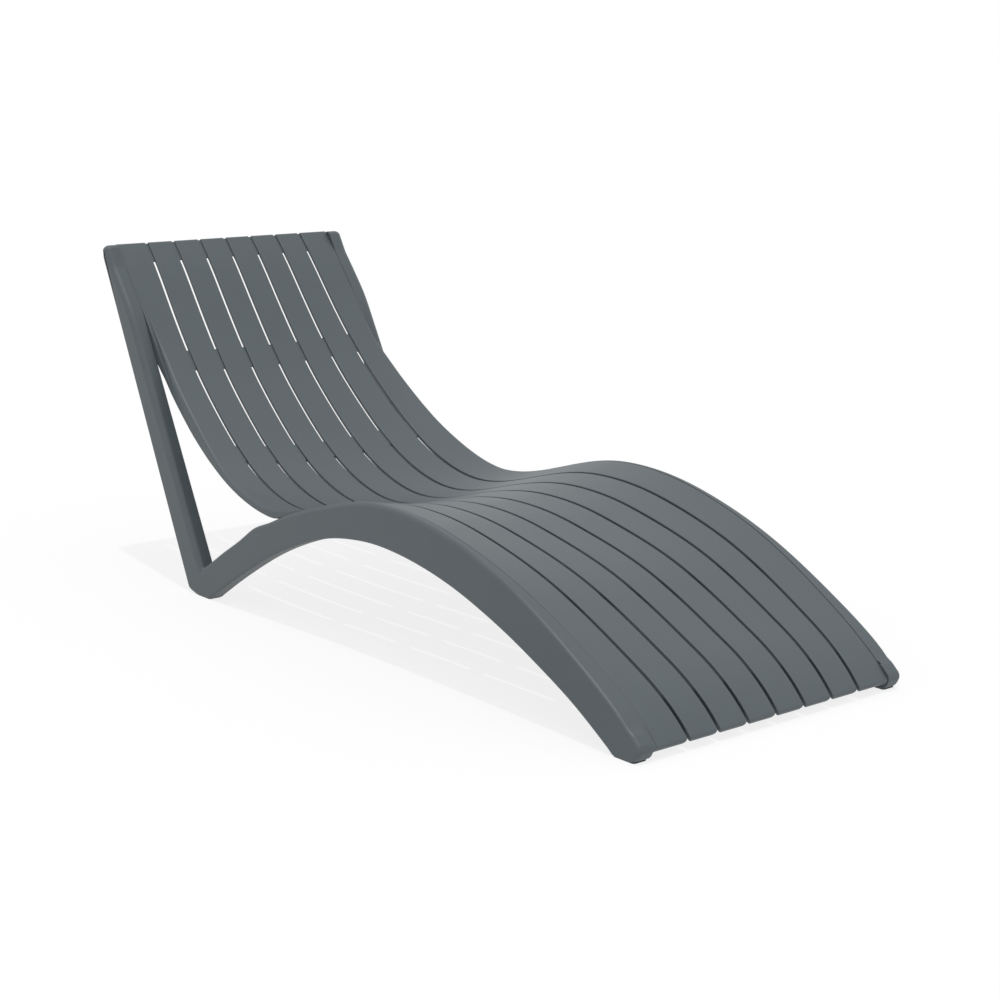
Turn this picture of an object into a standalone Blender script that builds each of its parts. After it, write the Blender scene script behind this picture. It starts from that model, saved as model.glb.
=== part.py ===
# Sun lounger of moulded plastic. Two leaning side frames, each an arch with a raked rear leg,
# carry eight slats that run along a wave from the foot end to the head end. Eight cross rails
# under the slats are tenoned into the frames and into the flanges of the two edge slats. Four
# foot pads plug into the soles of the frames.
# X runs across, Y from the foot end to the head end, Z up. All lengths are in metres.
import math

import bmesh
import bpy
import numpy as np

# Driving dimensions: the whole lounger
overall_length = 1.710
overall_height = 0.696
overall_width = 0.631
fit_clearance = 0.0003

# Seat wave, along the outer edge of the slats
dish_depth = 0.0343
slat_count = 8
slat_gap = 0.0076
slat_thickness = 0.013
slat_wall_head = 0.004
slat_wall_foot = 0.0095
slat_taper = 0.008
slat_edge_radius = 0.002
slat_end_radius = 0.006
station_spacing = 0.046

# Edge slats
edge_channel = 0.0080
edge_channel_depth = 0.0035
flange_thickness = 0.0125
flange_depth = 0.021
shell_round_width = 0.010
shell_round_depth = 0.018

# Side frames
frame_thickness = 0.0330
frame_lean = 0.0163
frame_round_width = 0.0040
frame_round_depth = 0.0085
frame_edge_radius = 0.0055
leg_edge_radius = 0.0130
frame_inner_radius = 0.0060
rebate_edge_radius = 0.0012
leg_crotch_radius = 0.011
heel_radius = 0.038
nose_radius = 0.013

# Cross rails
rail_width = 0.042
rail_depth = 0.020
rail_chamfer = 0.005
tenon_shoulder = 0.004
tenon_length = 0.008
rail_end_margin = 0.0010
rail_seat_gap = 0.0006

# Foot pads
pad_thickness = 0.0035
pad_length = 0.050
pad_width = 0.030
pad_corner_radius = 0.006
spigot_radius = 0.006
spigot_length = 0.010
pad_points = 24

# Seat wave: place along the length and height, as shares of the overall length and height
seat_wave_shares = (
    (0.0000, 0.0216), (0.0096, 0.0493), (0.0305, 0.0976), (0.0514, 0.1346), (0.0933, 0.1973),
    (0.1769, 0.3052), (0.2606, 0.3802), (0.3442, 0.4236), (0.3860, 0.4308), (0.4279, 0.4275),
    (0.4697, 0.4105), (0.5115, 0.3834), (0.5533, 0.3546), (0.5951, 0.3330), (0.6370, 0.3279),
    (0.6788, 0.3453), (0.7206, 0.3823), (0.7624, 0.4388), (0.8043, 0.5108), (0.8461, 0.5920),
    (0.8879, 0.6886), (0.9297, 0.8058), (0.9716, 0.9353), (0.9921, 0.9908),
)
# Fan of the slats: place along the length, slat pitch as a share of the clear width per slat,
# crosswise dish as a share of its depth
fan_shares = (
    (0.000, 0.960, 0.00), (0.050, 0.984, 0.02), (0.093, 1.001, 0.19), (0.177, 1.027, 0.50),
    (0.302, 1.050, 0.92), (0.428, 1.062, 0.98), (0.553, 1.067, 0.79), (0.679, 1.053, 0.85),
    (0.762, 1.031, 0.89), (0.846, 0.996, 0.56), (0.890, 0.976, 0.28), (0.930, 0.956, 0.06),
    (0.972, 0.936, 0.00), (1.000, 0.926, 0.00),
)
# Outer edge of the edge slats: place along the length, width left to the rail beside it as a
# share of the frame thickness, open channel, flange depth and outer rounding as shares
edge_shares = (
    (0.000, 1.00, 1.00, 0.00, 0.0), (0.030, 1.00, 1.00, 0.00, 0.0), (0.060, 0.90, 1.00, 0.00, 0.0),
    (0.090, 0.80, 1.00, 0.00, 0.0), (0.177, 0.58, 0.70, 0.00, 0.0), (0.300, 0.42, 0.25, 0.00, 0.0),
    (0.420, 0.34, 0.15, 0.00, 0.0), (0.560, 0.30, 0.12, 0.00, 0.0), (0.600, 0.29, 0.12, 0.10, 0.3),
    (0.640, 0.27, 0.10, 0.34, 0.8), (0.690, 0.28, 0.08, 0.04, 1.0), (0.730, 0.37, 0.08, 0.16, 1.0),
    (0.751, 0.47, 0.08, 0.45, 1.0), (0.781, 0.62, 0.09, 0.48, 1.0), (0.810, 0.76, 0.10, 0.58, 1.0),
    (0.840, 0.88, 0.20, 0.80, 0.8), (0.862, 1.00, 0.40, 1.00, 0.5), (0.890, 1.00, 0.80, 1.00, 0.2),
    (0.930, 1.00, 1.00, 0.90, 0.0), (0.972, 1.00, 1.00, 0.46, 0.0), (1.000, 1.00, 1.00, 0.42, 0.0),
)
# Straight wall of the slats' sides: place along the length, share of the way to the foot depth
wall_shares = ((0.00, 1.0), (0.56, 1.0), (0.68, 0.0), (1.00, 0.0))
# Outer rounding of the rail's top edge: place along the length, share of its full depth
rail_round_shares = (
    (0.00, 0.42), (0.09, 0.45), (0.15, 0.65), (0.22, 0.90), (0.28, 1.00), (0.55, 1.00), (0.64, 0.42),
)
# Depth of the frame's top edge below the seat wave where the arch leaves the seat, as shares of
# the frame's own drop over that stretch
arch_drop = 0.052
arch_drop_shares = (
    (0.545, 0.00), (0.561, 0.03), (0.583, 0.12), (0.596, 0.22), (0.610, 0.36), (0.629, 0.62), (0.647, 1.00),
)
# Rest of the arch's top edge down to the crotch of the rear leg
arch_back_shares = ((0.6700, 0.2335), (0.6930, 0.1970), (0.7180, 0.1612), (0.7415, 0.1250))
leg_crotch_share = (0.7712, 0.0794)
leg_front_shares = ((0.8942, 0.6434), (0.9250, 0.7860))
leg_flush_shares = (0.9350, 0.9520, 0.9716)
head_corner_shares = ((0.9860, 0.9995), (1.0000, 0.9900))
head_round_share = 0.87
shell_round_limit_share = 0.85
heel_share = 0.7984
toe_share = 0.7516
arch_under_shares = (
    (0.7056, 0.0726), (0.6612, 0.1359), (0.6186, 0.1915), (0.5767, 0.2373), (0.5366, 0.2734),
    (0.4977, 0.2997), (0.4601, 0.3136), (0.4233, 0.3195), (0.3873, 0.3164), (0.3526, 0.3071),
    (0.3183, 0.2927), (0.2852, 0.2742), (0.2363, 0.2373), (0.1895, 0.1943), (0.1439, 0.1450),
    (0.0995, 0.0918), (0.0620, 0.0375),
)
front_sole_shares = (0.0393, 0.0084)
nose_shares = ((0.0004, 0.0370), (0.0130, 0.0658))
slat_start_share = 0.0048
frame_top_share = 0.020
arch_leave_share = 0.660

# Cross rails: place along the length, width and depth as shares of the full rail
rail_shares = {
    "cross_rail_foot_end": (0.0315, 1.00, 1.00),
    "cross_rail_lower_leg": (0.1650, 1.00, 1.00),
    "cross_rail_knee": (0.3000, 1.00, 1.00),
    "cross_rail_thigh": (0.4320, 1.00, 1.00),
    "cross_rail_seat": (0.5600, 1.00, 1.00),
    "cross_rail_lumbar": (0.7660, 1.00, 0.40),
    "cross_rail_shoulder": (0.8838, 1.00, 0.50),
    "cross_rail_head_end": (0.9858, 0.88, 0.35),
}
pad_place_shares = {"front": 0.0249, "rear": 0.7675}

# Shared shape values
half_length_share = 0.5
bisect_share = 0.5
diagonal_share = 1.0 - math.sqrt(0.5)
quarter_round = ((0.0, 1.0), (diagonal_share, diagonal_share), (1.0, 0.0))
slat_end_shares = ((1.0 - diagonal_share, diagonal_share), (1.0, 1.0))
corner_steps = 4
least_round_share = 0.05
frame_ring_count = 8
crease_angle = math.radians(35.0)
weld_distance = 0.00002
cut_overrun = 0.004

# Colours
slate_colour = (0.118, 0.138, 0.147)
slate_roughness = 0.5
pad_colour = (0.03, 0.033, 0.035)
pad_roughness = 0.8


def make_material(name, colour, roughness):
    material = bpy.data.materials.new(name)
    material.use_nodes = True
    shader = material.node_tree.nodes["Principled BSDF"]
    shader.inputs["Base Color"].default_value = (*colour, 1.0)
    shader.inputs["Roughness"].default_value = roughness
    shader.inputs["Metallic"].default_value = 0.0
    return material


def clear_scene():
    for item in list(bpy.data.objects):
        bpy.data.objects.remove(item, do_unlink=True)


def spline(places, values):
    """Natural cubic curve through the values at the places."""
    x = np.asarray(places, float)
    v = np.asarray(values, float)
    n = len(x)
    h = np.diff(x)
    system = np.eye(n)
    right = np.zeros(n)
    for i in range(1, n - 1):
        system[i, i - 1:i + 2] = (h[i - 1], 2.0 * (h[i - 1] + h[i]), h[i])
        right[i] = 6.0 * ((v[i + 1] - v[i]) / h[i] - (v[i] - v[i - 1]) / h[i - 1])
    bend = np.linalg.solve(system, right)

    def value(at, slope=False):
        at = np.asarray(at, float)
        i = np.clip(np.searchsorted(x, at) - 1, 0, n - 2)
        a = (x[i + 1] - at) / h[i]
        b = (at - x[i]) / h[i]
        if slope:
            return ((v[i + 1] - v[i]) / h[i]
                    + ((3.0 * b * b - 1.0) * bend[i + 1] - (3.0 * a * a - 1.0) * bend[i]) * h[i] / 6.0)
        return a * v[i] + b * v[i + 1] + ((a ** 3 - a) * bend[i] + (b ** 3 - b) * bend[i + 1]) * h[i] ** 2 / 6.0

    return value


def table(rows, column):
    places = [row[0] for row in rows]
    values = [row[column] for row in rows]
    return lambda at: np.interp(at, places, values)


wall_at = table(wall_shares, 1)
wave = spline([row[0] for row in seat_wave_shares], [row[1] for row in seat_wave_shares])
fan = spline([row[0] for row in fan_shares], [row[1] for row in fan_shares])
dish = table(fan_shares, 2)
rail_share = spline([row[0] for row in edge_shares], [row[1] for row in edge_shares])
channel_share = table(edge_shares, 2)
flange_share = table(edge_shares, 3)
shell_round_share = table(edge_shares, 4)
rail_round = table(rail_round_shares, 1)
arch_drop_at = table(arch_drop_shares, 1)


def place(y_share, z_share):
    """Point in the side view from shares of the overall length and height."""
    return np.array([(y_share - half_length_share) * overall_length, z_share * overall_height])


def seat_slope(share):
    return np.arctan(wave(share, True) * overall_height / overall_length)


def outer_face(z):
    return overall_width / 2.0 - frame_lean * z


def slat_pitch(share):
    return (overall_width - 2.0 * frame_thickness) / slat_count * fan(share)


def edge_line(share):
    """Distance from the middle to the side of the edge slat."""
    rail = np.clip(rail_share(share), None, 1.0) * frame_thickness
    return outer_face(wave(share) * overall_height) - rail


def seat_point(share, across, depth):
    """Point at a depth below the seat surface, for a place along the wave and a distance across."""
    level = dish_depth * dish(share) * np.clip(1.0 - (across / edge_line(share)) ** 2, 0.0, None)
    angle = seat_slope(share)
    y, z = place(share, wave(share))
    return np.array([across, y + depth * np.sin(angle), z - level - depth * np.cos(angle)])


def rail_edges(centre, width_share):
    reach = rail_width * width_share * math.cos(seat_slope(centre)) / overall_length / 2.0
    return centre - reach, centre + reach


def wave_stations():
    """Places along the wave where every slat, rail and frame has its section. The last one is the
    far edge of the head end rail."""
    marks = []
    for centre, width_share, depth_share in rail_shares.values():
        marks.extend(rail_edges(centre, width_share))
    stations = [slat_start_share]
    for mark in marks:
        start = stations[-1]
        run = np.hypot((mark - start) * overall_length, (wave(mark) - wave(start)) * overall_height)
        steps = max(1, math.ceil(run / station_spacing))
        stations.extend(start + (mark - start) * step / steps for step in range(1, steps + 1))
    return stations


def build_object(name, points, faces, material, origin):
    """Welded mesh with outward faces, its origin at the given point."""
    mesh = bpy.data.meshes.new(name)
    base = np.asarray(origin, float)
    mesh.from_pydata([tuple(point) for point in np.asarray(points, float) - base], [], faces)
    work = bmesh.new()
    work.from_mesh(mesh)
    bmesh.ops.remove_doubles(work, verts=work.verts, dist=weld_distance)
    bmesh.ops.recalc_face_normals(work, faces=work.faces)
    if work.calc_volume(signed=True) < 0.0:
        bmesh.ops.reverse_faces(work, faces=work.faces)
    work.to_mesh(mesh)
    work.free()
    if material:
        mesh.materials.append(material)
    item = bpy.data.objects.new(name, mesh)
    item.location = base
    bpy.context.collection.objects.link(item)
    return item


def shade_round(item):
    item.data.shade_smooth()
    item.data.set_sharp_from_angle(angle=crease_angle)


def loft(name, rings, material, origin):
    """Closed skin through the rings, with a flat cap at each end."""
    count = len(rings[0])
    faces = [tuple(range(count))[::-1]]
    for row in range(len(rings) - 1):
        for i in range(count):
            j = (i + 1) % count
            faces.append((row * count + i, row * count + j, (row + 1) * count + j, (row + 1) * count + i))
    last = (len(rings) - 1) * count
    faces.append(tuple(range(last, last + count)))
    return build_object(name, np.concatenate(rings), faces, material, origin)


def cut(item, cutters):
    """Take the cutters out of the item and remove them."""
    for cutter in cutters:
        modifier = item.modifiers.new("pocket", "BOOLEAN")
        modifier.operation = "DIFFERENCE"
        modifier.solver = "EXACT"
        modifier.object = cutter
    bpy.context.view_layer.update()
    graph = bpy.context.evaluated_depsgraph_get()
    mesh = bpy.data.meshes.new_from_object(item.evaluated_get(graph))
    item.modifiers.clear()
    item.data = mesh
    for cutter in cutters:
        bpy.data.objects.remove(cutter, do_unlink=True)


def offset_loop(loop, distance):
    """Closed outline in the side view moved outward by the distance, corners mitred."""
    loop = np.asarray(loop, float)
    ahead = np.roll(loop, -1, axis=0) - loop
    ahead /= np.linalg.norm(ahead, axis=1)[:, None]
    turn = np.stack([ahead[:, 1], -ahead[:, 0]], axis=1)
    area = np.sum(loop[:, 0] * np.roll(loop[:, 1], -1) - np.roll(loop[:, 0], -1) * loop[:, 1])
    turn *= math.copysign(1.0, area)
    before = np.roll(turn, 1, axis=0)
    miter = (turn + before) / (1.0 + np.sum(turn * before, axis=1))[:, None]
    return loop + miter * distance


def unit(vector):
    return vector / np.linalg.norm(vector)


def fillet(before, corner, after, radius, steps):
    """Arc that rounds a corner of the outline."""
    a = unit(before - corner)
    b = unit(after - corner)
    half = math.acos(np.clip(np.dot(a, b), -1.0, 1.0)) / 2.0
    reach = radius / math.tan(half)
    centre = corner + unit(a + b) * radius / math.sin(half)
    start = corner + a * reach - centre
    end = corner + b * reach - centre
    sweep = math.acos(np.clip(np.dot(start, end) / radius ** 2, -1.0, 1.0))
    points = []
    for step in range(steps + 1):
        share = step / steps
        points.append(centre + (math.sin((1.0 - share) * sweep) * start + math.sin(share * sweep) * end)
                      / math.sin(sweep))
    return points


def slat_wall(share):
    return slat_wall_head + (slat_wall_foot - slat_wall_head) * wall_at(share)


def round_edge(line, toward, width, depth):
    """Section points of a rounded top edge, from its side up to its top."""
    return [(line + toward * width * w, depth * d) for w, d in quarter_round]


def inner_section(share, number):
    """Section of an inner slat: distance across and depth below the seat surface."""
    pitch = slat_pitch(share)
    low = (number - 1 - slat_count / 2.0) * pitch + slat_gap / 2.0
    high = (number - slat_count / 2.0) * pitch - slat_gap / 2.0
    left = round_edge(low, 1.0, slat_edge_radius, slat_edge_radius)
    right = round_edge(high, -1.0, slat_edge_radius, slat_edge_radius)
    return ([(low + slat_taper, slat_thickness), (low, slat_wall(share))] + left + right[::-1]
            + [(high, slat_wall(share)), (high - slat_taper, slat_thickness)])


def edge_section(share, side):
    """Section of an edge slat: lip beside the rail, open channel and, past the arch, a flange."""
    inner = (slat_count / 2.0 - 1.0) * slat_pitch(share) + slat_gap / 2.0
    lip = edge_line(share) - fit_clearance
    top = lip - edge_channel * channel_share(share)
    foot = slat_thickness + flange_depth * flange_share(share)
    if share <= arch_leave_share:
        foot = min(foot, max(slat_thickness, arch_drop * arch_drop_at(share) - fit_clearance))
    swell = shell_round_share(share)
    width = slat_edge_radius + (shell_round_width - slat_edge_radius) * swell
    depth = slat_edge_radius + (shell_round_depth - slat_edge_radius) * swell
    depth = min(depth, (foot - edge_channel_depth) * shell_round_limit_share)
    floor = edge_channel_depth + depth - slat_edge_radius
    section = ([(inner + slat_taper, slat_thickness), (inner, slat_wall(share))]
               + round_edge(inner, 1.0, slat_edge_radius, slat_edge_radius)
               + round_edge(top, -1.0, width, depth)[::-1]
               + [(top, floor), (lip, floor), (lip, foot), (lip - flange_thickness, foot),
                  (lip - flange_thickness, slat_thickness)])
    return [(side * across, deep) for across, deep in section]


def make_slat(number, stations, material):
    """Slat swept along the seat wave, with its two ends rounded over."""
    side = {1: -1.0, slat_count: 1.0}.get(number)

    def section(share):
        return edge_section(share, side) if side else inner_section(share, number)

    def ring(share, lead=0.0, drop=0.0):
        angle = seat_slope(share)
        shift = np.array([0.0, math.cos(angle), math.sin(angle)]) * lead * slat_end_radius
        return np.array([seat_point(share, across, max(depth, drop * slat_end_radius)) + shift
                         for across, depth in section(share)])

    rings = [ring(stations[0], -lead, drop) for lead, drop in slat_end_shares[::-1]]
    rings += [ring(share) for share in stations]
    rings += [ring(stations[-1], lead, drop) for lead, drop in slat_end_shares]
    middle = rings[len(rings) // 2].mean(axis=0)
    item = loft(f"slat_{number}", rings, material, middle)
    shade_round(item)
    return item


def inner_face(z):
    return outer_face(z) - frame_thickness


def largest_radius(before, low, high, after):
    """Largest radius that rounds both ends of an outline's short edge without crossing."""
    turns = [math.acos(np.dot(unit(before - low), unit(high - low))),
             math.acos(np.dot(unit(low - high), unit(after - high)))]
    return np.linalg.norm(high - low) / sum(1.0 / math.tan(turn / 2.0) for turn in turns)


def frame_seat(stations):
    return [share for share in stations if frame_top_share <= share <= arch_leave_share]


def frame_outline(seat, inset=0.0):
    """Side view of a frame drawn in by the inset, from the back of the arch round to the nose."""
    sole = pad_thickness + fit_clearance

    def at(share_pair):
        return place(*share_pair)

    def on_sole(y_share):
        return np.array([place(y_share, 0.0)[0], sole])

    def smaller(radius):
        return max(radius - inset, radius * least_round_share)

    corners = [place(share, wave(share)) for share in seat] + [at(pair) for pair in arch_back_shares]
    crotch = len(corners)
    corners += [at(leg_crotch_share)] + [at(pair) for pair in leg_front_shares]
    corners += [place(share, wave(share)) for share in leg_flush_shares]
    head = len(corners)
    corners += [at(pair) for pair in head_corner_shares] + [on_sole(heel_share), on_sole(toe_share)]
    corners += [at(pair) for pair in arch_under_shares] + [on_sole(share) for share in front_sole_shares]
    nose = len(corners)
    corners = offset_loop(corners + [at(pair) for pair in nose_shares], -inset)
    corners[[head + 2, head + 3, nose - 2, nose - 1], 1] = sole
    head_radius = largest_radius(*corners[head - 1:head + 3]) * head_round_share
    radii = {crotch: leg_crotch_radius + inset, head: head_radius, head + 1: head_radius,
             head + 2: smaller(heel_radius), nose: smaller(nose_radius)}
    plain = []
    leg_rows = [0, 0]
    for i in range(len(seat), len(corners)):
        if i in radii:
            plain += fillet(*corners[i - 1:i + 2], radii[i], corner_steps)
        else:
            plain.append(corners[i])
        if i in (crotch, head):
            leg_rows[int(i == head)] = len(plain)
    return plain, leg_rows


def frame_rings(side, stations):
    """Outlines of a frame at steps from its outer face to its inner face."""
    seat = frame_seat(stations)
    rings = [[] for step in range(frame_ring_count)]
    shelf = slat_thickness + fit_clearance
    for share in seat:
        top = arch_drop * arch_drop_at(share)
        swell = frame_round_depth * rail_round(share)
        groove = edge_line(share)
        shelf_top = max(top, shelf)
        z = place(share, wave(share))[1]
        inner_round = min(groove, inner_face(z) + frame_inner_radius)
        steps = [(w * frame_round_width, top + d * swell) for w, d in quarter_round]
        points = []
        for inset, depth in steps:
            point = seat_point(share, groove, depth)
            point[0] = outer_face(point[2]) - inset
            points.append(point)
        edge = min(rebate_edge_radius, (shelf_top - top) * bisect_share)
        points.append(seat_point(share, groove + edge, top))
        points.append(seat_point(share, groove, top + edge))
        points.append(seat_point(share, groove, shelf_top))
        points.append(seat_point(share, inner_round, shelf_top))
        last = seat_point(share, inner_face(z), shelf_top + frame_inner_radius)
        last[0] = inner_face(last[2])
        points.append(last)
        for ring, point in zip(rings, points):
            ring.append(point * np.array([side, 1.0, 1.0]))
    plain, leg_rows = frame_outline(seat)
    insets = {radius: frame_outline(seat, radius)[0]
              for radius in (frame_edge_radius, leg_edge_radius, frame_inner_radius)}
    for row, point in enumerate(plain):
        radius = leg_edge_radius if leg_rows[0] <= row < leg_rows[1] else frame_edge_radius
        inset, far_inset = insets[radius][row], insets[frame_inner_radius][row]
        steps = [(w * radius, point + (inset - point) * d) for w, d in quarter_round]
        middle = (frame_thickness * bisect_share, point)
        steps += [middle, middle, middle]
        steps += [(frame_thickness - frame_inner_radius, point), (frame_thickness, far_inset)]
        for ring, (across, spot) in zip(rings, steps):
            ring.append(np.array([side * (outer_face(spot[1]) - across), spot[0], spot[1]]))
    return [np.array(ring) for ring in rings]


def rail_ring(edges, depth, across_lo, across_hi):
    """Section of a cross rail: top on two places of the seat wave, lower edges chamfered."""
    top = slat_thickness + rail_seat_gap
    lo_top, hi_top = seat_point(edges[0], across_lo, top), seat_point(edges[1], across_hi, top)
    lo_low = seat_point(edges[0], across_lo, top + depth)
    hi_low = seat_point(edges[1], across_hi, top + depth)
    up = rail_chamfer / rail_depth
    along = rail_chamfer / rail_width
    return np.array([
        lo_top, hi_top, hi_low + (hi_top - hi_low) * up, hi_low + (lo_low - hi_low) * along,
        lo_low + (hi_low - lo_low) * along, lo_low + (lo_top - lo_low) * up,
    ])


def resized(ring, across_shift, growth):
    """Section moved across and grown or shrunk in its own outline."""
    moved = ring.copy()
    moved[:, 1:] = offset_loop(ring[:, 1:], growth)
    moved[:, 0] += across_shift
    return moved


def make_rail(name, share, width_share, depth_share, material):
    """Cross rail with a tenon at each end. Returns its end section."""
    edges = rail_edges(share, width_share)
    depth = rail_depth * depth_share
    under_edge = slat_gap / 2.0 + slat_taper

    def across(edge):
        """Distances at which the undersides of the slats begin and end."""
        lines = [under_edge]
        for line in range(1, slat_count // 2):
            lines += [line * slat_pitch(edge) - under_edge, line * slat_pitch(edge) + under_edge]
        return lines

    half = [rail_ring(edges, depth, low, high) for low, high in zip(*(across(edge) for edge in edges))]
    flange_side = [edge_line(edge) - fit_clearance - flange_thickness for edge in edges]
    face = inner_face(place(share, wave(share))[1])
    if share > arch_leave_share:
        body_end = min(flange_side) - fit_clearance
        end = rail_ring(edges, depth, body_end, body_end)
    else:
        if min(flange_side) < face - rail_end_margin:
            half.append(rail_ring(edges, depth, *(min(line, face - rail_end_margin) for line in flange_side)))
        end = rail_ring(edges, depth, face, face)
        end[:, 0] = inner_face(end[:, 2]) - fit_clearance
    shoulder = tenon_shoulder * depth_share
    tenon_root = resized(end, 0.0, -shoulder)
    tenon_tip = resized(end, tenon_length, -shoulder)
    half += [end, tenon_root, tenon_tip]
    mirror = np.array([-1.0, 1.0, 1.0])
    rings = [ring * mirror for ring in half[::-1]] + half
    item = loft(name, rings, material, half[0].mean(axis=0))
    shade_round(item)
    return end


def pocket_cutter(name, end, depth_share, side):
    """Blind pocket for a tenon, larger than it by the fit clearance on every face."""
    growth = fit_clearance - tenon_shoulder * depth_share
    rings = [resized(end, -cut_overrun, growth), resized(end, tenon_length + fit_clearance, growth)]
    mirror = np.array([side, 1.0, 1.0])
    return loft(name, [ring * mirror for ring in rings], None, (0.0, 0.0, 0.0))


def circle(centre, radius, z):
    angles = np.arange(pad_points) * 2.0 * math.pi / pad_points
    return np.stack([centre[0] + radius * np.cos(angles), centre[1] + radius * np.sin(angles),
                     np.full(pad_points, z)], axis=1)


def pad_ring(centre, z):
    """Rounded oblong under a foot, with as many points as the spigot."""
    angles = (np.arange(pad_points) + bisect_share) * 2.0 * math.pi / pad_points
    x = np.sign(np.cos(angles)) * (pad_width / 2.0 - pad_corner_radius) + pad_corner_radius * np.cos(angles)
    y = np.sign(np.sin(angles)) * (pad_length / 2.0 - pad_corner_radius) + pad_corner_radius * np.sin(angles)
    return np.stack([centre[0] + x, centre[1] + y, np.full(pad_points, z)], axis=1)


def pad_centre(side, spot):
    across = outer_face(0.0) - frame_thickness / 2.0
    return np.array([side * across, place(pad_place_shares[spot], 0.0)[0]])


def make_pad(name, centre, material):
    """Foot pad: oblong sole plate with a round spigot on top."""
    top = pad_thickness + spigot_length
    rings = [pad_ring(centre, 0.0), pad_ring(centre, pad_thickness),
             circle(centre, spigot_radius, pad_thickness), circle(centre, spigot_radius, top)]
    item = loft(name, rings, material, (centre[0], centre[1], 0.0))
    shade_round(item)
    return item


def spigot_cutter(name, centre):
    radius = spigot_radius + fit_clearance
    top = pad_thickness + spigot_length + fit_clearance
    rings = [circle(centre, radius, -cut_overrun), circle(centre, radius, top)]
    return loft(name, rings, None, (0.0, 0.0, 0.0))


def build():
    clear_scene()
    body = make_material("slate_plastic", slate_colour, slate_roughness)
    rubber = make_material("pad_rubber", pad_colour, pad_roughness)
    stations = wave_stations()
    slats = {number: make_slat(number, stations, body) for number in range(1, slat_count + 1)}
    ends = {}
    for name, shares in rail_shares.items():
        ends[name] = make_rail(name, *shares, body)
    for side_name, side, edge_slat in (("left", -1.0, 1), ("right", 1.0, slat_count)):
        rings = frame_rings(side, stations)
        frame = loft(f"side_frame_{side_name}", rings, body, rings[0].mean(axis=0))
        frame_cutters, flange_cutters = [], []
        for name, (share, width_share, depth_share) in rail_shares.items():
            cutter = pocket_cutter(f"pocket_{name}_{side_name}", ends[name], depth_share, side)
            (frame_cutters if share <= arch_leave_share else flange_cutters).append(cutter)
        for spot in pad_place_shares:
            centre = pad_centre(side, spot)
            make_pad(f"foot_pad_{spot}_{side_name}", centre, rubber)
            frame_cutters.append(spigot_cutter(f"spigot_hole_{spot}_{side_name}", centre))
        cut(frame, frame_cutters)
        cut(slats[edge_slat], flange_cutters)
        shade_round(frame)
        shade_round(slats[edge_slat])


build()
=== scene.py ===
import math

import bmesh
import bpy
import numpy as np
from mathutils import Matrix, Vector


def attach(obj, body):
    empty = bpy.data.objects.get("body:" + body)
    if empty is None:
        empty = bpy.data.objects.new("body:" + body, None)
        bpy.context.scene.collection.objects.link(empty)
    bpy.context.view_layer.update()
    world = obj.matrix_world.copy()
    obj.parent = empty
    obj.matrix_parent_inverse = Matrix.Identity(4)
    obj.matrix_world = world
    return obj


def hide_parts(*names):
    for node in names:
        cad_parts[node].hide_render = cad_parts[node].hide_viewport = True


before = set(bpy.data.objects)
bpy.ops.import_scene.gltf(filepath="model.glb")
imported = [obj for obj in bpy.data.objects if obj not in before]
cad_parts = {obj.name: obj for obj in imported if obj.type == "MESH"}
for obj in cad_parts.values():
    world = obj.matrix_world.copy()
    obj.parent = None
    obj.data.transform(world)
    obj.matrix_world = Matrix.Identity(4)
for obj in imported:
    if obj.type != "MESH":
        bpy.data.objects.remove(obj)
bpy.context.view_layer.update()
print("frame loaded:", len(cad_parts), "nodes")

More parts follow.
